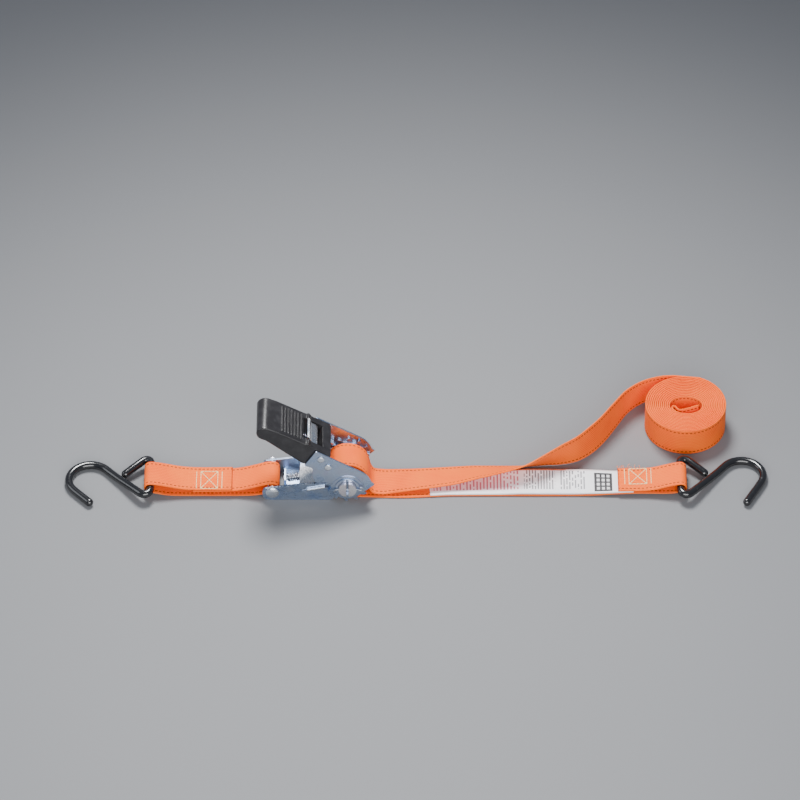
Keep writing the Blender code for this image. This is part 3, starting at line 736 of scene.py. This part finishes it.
def handle_point(a, b):
    """A point of the closed handle's drawing, with the handle raised, in the XZ plane."""
    x = AXLE_X - a * math.cos(RAISE) + b * math.sin(RAISE)
    z = AXLE_Z + a * math.sin(RAISE) + b * math.cos(RAISE)
    return np.array((x, 0.0, z))


def lock_point(along):
    """A point on the locking pawl's slope, in the XZ plane."""
    x = LOCK_X + along * math.cos(LOCK_SLOPE)
    z = LOCK_Z + along * math.sin(LOCK_SLOPE)
    return np.array((x, 0.0, z))


def coil(name, start, end, radius, turns, wire, node):
    """A coil spring between two points."""
    axis = unit(end - start)
    across = np.array((0.0, 1.0, 0.0))
    side = np.cross(axis, across)
    per_turn = 24
    share = np.linspace(0, 1, turns * per_turn + 1)
    run = np.linalg.norm(end - start) - 2 * wire
    # The last turn at each end is closed up flat
    closed = 1.0 / turns
    pitch = np.interp(share, [0, closed, 1 - closed, 1], [0, 0.06, 0.94, 1])
    angle = TURN * turns * share
    line = start + axis * (wire + run * pitch)[:, None]
    line = line + radius * (np.cos(angle)[:, None] * across + np.sin(angle)[:, None] * side)
    points, radii = domed(line, wire, 3)
    piece = tube(name, points, radii, 10, SPRING)
    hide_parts(node)
    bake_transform(piece)


coil(
    "lock_spring_coil",
    lock_point(-10.0),
    lock_point(-1.0),
    radius=3.0,
    turns=6,
    wire=0.45,
    node="lock_spring",
)
coil(
    "release_spring_coil",
    handle_point(52.2, 10.4),
    handle_point(39.8, 10.4),
    radius=2.2,
    turns=7,
    wire=0.4,
    node="release_spring",
)

# ---- Webbing --------------------------------------------------------------------------------

# The short strap: over the pin, back along the floor, round the left hook's bar and over again
pin_loop = PIN_R + WEB_SLACK + WEB_THICK / 2
short_path = [(-172.0, 5.1), (-150.0, 5.4), (-136.0, 6.4), (-124.0, 9.6), (-116.5, 12.2)]
short_path += arc(PIN_X, PIN_Z, pin_loop, 90.0, -180.0, 7)
short_path += [(-117.5, 2.4), (-126.0, 1.1), (-136.0, 0.75), (-160.0, 0.7), (-182.0, 0.75)]
short_path += [(-191.0, 1.3), (-198.0, 2.9)]
short_path += arc(LEFT_EYE_X, EYE_Z, LOOP_R, 270.0, -180.0, 7)
short_path += [(-198.5, 12.1), (-191.0, 10.4), (-182.0, 8.2), (-172.0, 7.0)]
short_path += [(-160.0, 6.8), (-141.0, 7.1)]
short_strap, length = strap("short_webbing", *flat_path(short_path), "short_strap", ["short_strap"])

# The long strap's run: from the spool along the floor, round the right hook's bar and folded back
long_path = arc(AXLE_X, AXLE_Z, COIL_R, 215.0, 55.0, 6)
long_path += [(-40.0, 0.68), (0.0, 0.68), (60.0, 0.68), (110.0, 0.68), (135.0, 1.1)]
long_path += [(152.0, 2.4), (170.0, 3.2), (184.0, 3.1), (191.0, 3.0), (197.5, 3.5)]
long_path += arc(RIGHT_EYE_X, EYE_Z, LOOP_R, 270.0, 180.0, 7)
long_path += [(197.6, 11.6), (191.0, 9.6), (185.0, 7.6), (179.0, 6.4), (171.0, 5.8), (155.0, 5.6)]


BOW_X, BOW_HALF, BOW_DEPTH = -8.0, 34.0, 1.3


def long_drift(x):
    """The drift, with a slight bow to the front between the buckle and the label."""
    bow = max(0.0, 1 - ((x - BOW_X) / BOW_HALF) ** 2)
    return drift(x) - BOW_DEPTH * bow * bow


long_line, long_across = flat_path(long_path, long_drift)
long_strap, length = strap("long_webbing", long_line, long_across, "frame", ["long_strap_run"])

# The turns on the spool: one strap that crosses in the slot and winds outwards from both its mouths
arm = [(0.0, 0.0), (0.0, 3.5), (0.0, 6.4), (-0.7, 7.5)]
for degrees in np.arange(24.0, WOUND_TURNS * 360.0, 12.0):
    radius = WOUND_START_R + WOUND_PITCH * degrees / 360.0
    angle = math.radians(90.0 + degrees)
    arm.append((radius * math.cos(angle), radius * math.sin(angle)))
wound = [(-x, -z) for x, z in reversed(arm[1:])] + arm
wound = [(AXLE_X + x, AXLE_Z + z) for x, z in wound]
spool_web, length = strap("spool_webbing", *flat_path(wound), "spool", ["spool_wrap"], step=1.0)

# The tail, from the spool to the roll. Each station has x, y and z of the edge that ends up on the
# floor, and in degrees how far the width leans up from it. It only drifts where it leaves the spool
stations = []
for k, (x, z) in enumerate(arc(AXLE_X, AXLE_Z, COIL_R, 165.0, -150.0, 10)):
    stations.append((x, WEB_WIDTH / 2 - LONG_DRIFT * max(0.0, (k - 6) / 6), z, 0.0))
stations += [
    (-36.0, 11.7, 15.6, -3.0),
    (-34.7, 11.4, 11.0, -6.0),
    (-32.0, 11.2, 7.6, -8.0),
    (-27.0, 11.6, 6.2, -7.0),
    (-20.0, 12.4, 5.0, -3.0),
    (-3.0, 14.2, 3.6, 3.0),
    (10.8, 15.7, 2.9, 7.0),
    (26.2, 17.5, 2.2, 11.6),
    (41.5, 19.2, 1.5, 19.5),
    (56.9, 19.7, 0.9, 28.0),
    (72.3, 19.8, 0.6, 37.5),
    (84.0, 20.0, 0.5, 47.0),
    (99.5, 21.4, 0.4, 65.0),
    (112.0, 22.1, 0.3, 83.0),
    (124.5, 25.6, 0.2, 95.0),
    (136.0, 34.3, 0.2, 101.0),
    (146.0, 47.0, 0.2, 100.0),
    (155.2, 62.8, 0.2, 97.0),
    (164.6, 78.8, 0.2, 93.0),
    (176.4, 89.8, 0.2, 90.0),
    (190.0, 95.0, 0.2, 90.0),
    (200.0, 96.0, 0.2, 90.0),
]
edge = np.array([s[:3] for s in stations])
edge_along = np.vstack([edge[1] - edge[0], edge[2:] - edge[:-2], edge[-1] - edge[-2]])
tail_points = []
tail_across = []
for spot, direction, station in zip(edge, edge_along, stations):
    lean = math.radians(station[3])
    # Near the buckle the width lies square to it, further on square to the tail's own course
    near_buckle = station[0] <= -10
    heading = np.array((1.0, 0.0, 0.0) if near_buckle else (direction[0], direction[1], 0.0))
    heading = unit(heading)
    level = np.array((heading[1], -heading[0], 0.0))
    wide = level * math.cos(lean) + np.array((0.0, 0.0, math.sin(lean)))
    d = unit(direction)
    wide = unit(wide - wide.dot(d) * d)
    tail_points.append(spot + wide * WEB_WIDTH / 2)
    tail_across.append(wide)

# The roll follows on from the tail, from round to oval, and ends in a folded tongue in its core
roll_points = []
per_turn = 24
for turns in np.arange(2, LAST_TURN * per_turn) / per_turn:
    angle = math.radians(97.5 - 360.0 * turns)
    share = turns / LAST_TURN
    inner = share**1.3
    reach_x = math.cos(angle) * (ROLL_R - (ROLL_R - CORE_LONG) * share)
    reach_y = math.sin(angle) * (ROLL_R - (ROLL_R - CORE_SHORT) * share)
    x = ROLL_X + (CORE_X - ROLL_X) * inner + reach_x
    y = ROLL_Y + (CORE_Y - ROLL_Y) * inner + reach_y
    roll_points.append((x, y, ROLL_Z))
for x, y in (
    (198.0, 60.6),
    (198.9, 62.4),
    (200.6, 62.2),
    (201.6, 60.2),
    (203.4, 58.2),
    (208.0, 58.6),
    (214.0, 61.0),
    (219.6, 63.2),
):
    roll_points.append((x, y, ROLL_Z))
roll_line = curve(roll_points, 3)
upright = np.tile((0.0, 0.0, 1.0), (len(roll_line), 1))
# Two metres of webbing get a coarser mesh than the other straps, to stay under 200,000 faces
spare, length = strap(
    "spare_webbing",
    np.vstack([curve(tail_points, SMOOTH), roll_line]),
    np.vstack([curve(tail_across, SMOOTH), upright]),
    "frame",
    ["long_strap_tail", "strap_roll"],
    step=1.98,
    per_rib=3,
)

# Each place along the label: x, height and how far its rear edge tips up, in degrees
label_rise = [(10.0, 1.62, 0.0), (26.0, 1.62, 0.0), (45.0, 1.8, 1.0), (65.0, 2.7, 5.0)]
label_rise += [(82.0, 3.8, 8.0), (100.0, 3.7, 8.0), (120.0, 3.5, 7.0), (135.0, 3.6, 5.0)]
label_rise += [(146.0, 3.5, 2.0), (152.0, 3.45, 0.5), (158.5, 3.8, 0.0), (167.0, 4.3, 0.0)]
rise = curve(label_rise, 6)
label_line = np.array([(x, long_drift(x), z) for x, z, _ in rise])
tip = np.radians(rise[:, 2])
label_wide = np.stack([0 * tip, np.cos(tip), np.sin(tip)], 1)
label, length = strap(
    "sewn_label",
    label_line,
    label_wide,
    "frame",
    ["label"],
    step=2.0,
    per_rib=2,
    material=LABEL,
    slot="white_label",
    width=LABEL_WIDTH,
    thick=LABEL_THICK,
    ribs=6,
    groove=0.0,
)

# ---- Sewing ---------------------------------------------------------------------------------


# One stitch: five points along it, their height over the strap, and its thickness there
STITCH_PITCH = 2.5
STITCH_SPOTS = np.array((0.04, 0.16, 0.5, 0.84, 0.96))
STITCH_LIFT = np.array((-0.25, 0.16, 0.30, 0.16, -0.25))
STITCH_RADII = np.array((0.20, 0.37, 0.42, 0.37, 0.20))


def sewing(name, lines, height, body):
    """Stitches along flat lines on a strap whose top is height(x): each stitch rises and dives."""
    stitches = []
    for (x0, y0), (x1, y1) in lines:
        run = math.hypot(x1 - x0, y1 - y0)
        count = max(1, round(run / STITCH_PITCH))
        for k in range(count):
            share = (k + STITCH_SPOTS) / count
            x = x0 + (x1 - x0) * share
            y = y0 + (y1 - y0) * share
            z = np.array([height(s) for s in x]) + STITCH_LIFT
            line = np.stack([x, y, z], 1)
            stitches.append(tube("stitch", line, STITCH_RADII, 6, THREAD, keep_u=True))
    piece = join(name, stitches)
    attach(piece, body)


def box_and_cross(left, right, middle, half):
    """A box with a cross in it between a double row at each end."""
    row_gap = 3.3
    a, b = left + row_gap, right - row_gap
    low, high = middle - half, middle + half
    return [
        ((left, low), (left, high)),
        ((a, low), (a, high)),
        ((b, low), (b, high)),
        ((right, low), (right, high)),
        ((a, high), (b, high)),
        ((a, low), (b, low)),
        ((a, low), (b, high)),
        ((a, high), (b, low)),
    ]


def surface(path):
    """The top of a flat strap along its route, as a height for each x."""
    line = curve([(x, 0.0, z) for x, z in path], SMOOTH)
    line = line[np.argsort(line[:, 0])]
    return lambda x: float(np.interp(x, line[:, 0], line[:, 2])) + WEB_THICK / 2


left_top = surface(short_path[-5:])
right_top = surface(long_path[-4:])
sewing("left_sewing", box_and_cross(-168.6, -149.0, -2.2, 9.2), left_top, "short_strap")
sewing("right_sewing", box_and_cross(160.4, 180.6, 2.8, 8.3), right_top, "frame")

# Loose strands along the rear edge of the right fold-back: x, reach, height, sideways bend
strands = [
    (155.6, 3.2, 1.6, -1.5),
    (156.8, 4.6, 0.6, 1.2),
    (158.1, 2.6, 2.1, 0.8),
    (159.9, 5.2, 1.2, -1.9),
    (161.4, 3.4, 0.2, 1.6),
    (163.0, 6.0, 1.9, 2.2),
    (164.7, 3.0, 1.4, -0.9),
    (166.3, 4.4, 0.1, -2.0),
    (168.2, 5.4, 1.5, 0.7),
    (170.1, 2.9, 0.5, 1.5),
    (172.4, 4.1, 1.7, -1.3),
    (174.3, 2.4, 0.3, 0.9),
]
loose_pieces = []
for x, reach, lift, bend in strands:
    share = np.linspace(0, 1, 9)
    xs = x + bend * share**2
    ys = WEB_WIDTH / 2 - 0.5 + reach * share
    base = right_top(x) - 0.9
    zs = base + (lift + 0.4) * np.sin(share * 2.2) - (base - 0.8) * share**3 * 0.6
    radii = np.linspace(0.2, 0.12, 9)
    line = np.stack([xs, ys, zs], 1)
    loose_pieces.append(tube("strand", line, radii, 6, LOOSE, keep_u=True))
loose = join("loose_strands", loose_pieces)
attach(loose, "frame")

# ---- Hooks ----------------------------------------------------------------------------------


def rounded(corners, steps=12):
    """A line through (p, q, radius) corners, each rounded by its radius."""
    out = [np.array(corners[0][:2])]
    for (p, q, radius), before, after in zip(corners[1:-1], corners, corners[2:]):
        here = np.array((p, q))
        back_way = unit(np.array(before[:2]) - here)
        on_way = unit(np.array(after[:2]) - here)
        half = math.acos(np.clip(back_way.dot(on_way), -1, 1)) / 2
        reach = radius / math.tan(half)
        centre = here + unit(back_way + on_way) * radius / math.sin(half)
        start = here + back_way * reach - centre
        end = here + on_way * reach - centre
        turn = math.atan2(start[0] * end[1] - start[1] * end[0], start.dot(end))
        for k in range(steps + 1):
            c, s = math.cos(turn * k / steps), math.sin(turn * k / steps)
            out.append(centre + np.array((c * start[0] - s * start[1], s * start[0] + c * start[1])))
    out.append(np.array(corners[-1][:2]))
    return out


# How far from the eye's bar a hook's wire has come down to the floor
DROP_LENGTH = 34.0


def hook(name, node, eye_x, side, centre, radius, tip, front_corner, rear_corner, leg_end):
    """One hook lying flat. Its drawing has p away from the eye's bar and q to the rear.

    The bend is a circle about centre. Its tip and its shank leave it on tangents, and the shank
    goes on to the bar between the two corners and back along the leg.
    """
    c = np.array(centre)
    front = np.array((0.0, front_corner))
    swing = math.acos(radius / np.linalg.norm(c - front))
    top_turn = (math.atan2(front[1] - c[1], front[0] - c[0]) - swing) % TURN
    tip_point = np.array(tip)
    tip_gap = np.linalg.norm(tip_point - c)
    low_turn = math.atan2(tip_point[1] - c[1], tip_point[0] - c[0]) + math.acos(radius / tip_gap)
    low_turn = (low_turn + math.pi) % TURN - math.pi
    angles = np.linspace(low_turn, top_turn, 60)
    bend = [c + radius * np.array((math.cos(a), math.sin(a))) for a in angles]
    eye = rounded([(*bend[-1], 0), (0.0, front_corner, 4.0), (0.0, rear_corner, 3.4), (*leg_end, 0)])
    line = np.array([tip_point, *bend, *eye[1:]])
    _, line = even(line, 0.8)
    # The corners of a bent wire are softer than circles joined by straight lines
    for _ in range(8):
        line[1:-1] = (line[:-2] + 2 * line[1:-1] + line[2:]) / 4
    drop = np.clip(line[:, 0] / DROP_LENGTH, 0.0, 1.0)
    height = EYE_Z + (WIRE_R + 0.05 - EYE_Z) * (3 * drop**2 - 2 * drop**3)
    points = np.stack([eye_x + side * line[:, 0], line[:, 1], height], 1)
    points, radii = domed(points, WIRE_R, 8)
    piece = tube(name, points, radii, 28, VINYL)
    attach(piece, node)
    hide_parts(node)


hook(
    "left_hook_wire",
    "left_hook",
    LEFT_EYE_X,
    side=-1,
    centre=(46.5, 2.2),
    radius=16.5,
    tip=(46.4, -22.0),
    front_corner=-25.0,
    rear_corner=23.5,
    leg_end=(19.5, 6.8),
)
hook(
    "right_hook_wire",
    "right_hook",
    RIGHT_EYE_X,
    side=1,
    centre=(47.7, 7.0),
    radius=16.4,
    tip=(50.5, -21.6),
    front_corner=-26.0,
    rear_corner=24.0,
    leg_end=(18.7, 7.9),
)
